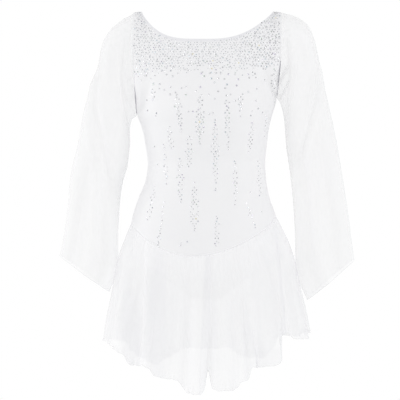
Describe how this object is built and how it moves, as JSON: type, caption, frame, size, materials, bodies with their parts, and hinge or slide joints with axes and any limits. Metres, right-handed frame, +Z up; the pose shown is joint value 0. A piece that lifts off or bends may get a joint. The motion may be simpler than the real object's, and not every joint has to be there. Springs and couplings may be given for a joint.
{
  "type": "figure skating dress",
  "caption": "White long-sleeved skating dress as worn, with a scoop-neck stretch bodice, bell sleeves, a flared chiffon skirt and built-in briefs.",
  "frame": {"origin": "midway between the two shoulder tops, where the shoulders carry the dress", "axes": "+Z up, -Y the way the wearer faces, so +X is towards the wearer's left"},
  "size_m": [0.622, 0.3617, 0.792],
  "materials": {
    "stretch_lycra": "soft white stretch lycra knit",
    "chiffon": "sheer white polyester chiffon",
    "brief_lycra": "soft white stretch lycra knit",
    "rhinestone": "foil-backed faceted crystal, clear with an iridescent coat"
  },
  "bodies": {
    "root": {"bodice_front": "stretch_lycra", "bodice_back": "stretch_lycra", "sleeve_right": "chiffon", "sleeve_left": "chiffon", "skirt_front": "chiffon", "skirt_back": "chiffon", "brief_front": "brief_lycra", "brief_back": "brief_lycra"}
  },
  "joints": []
}
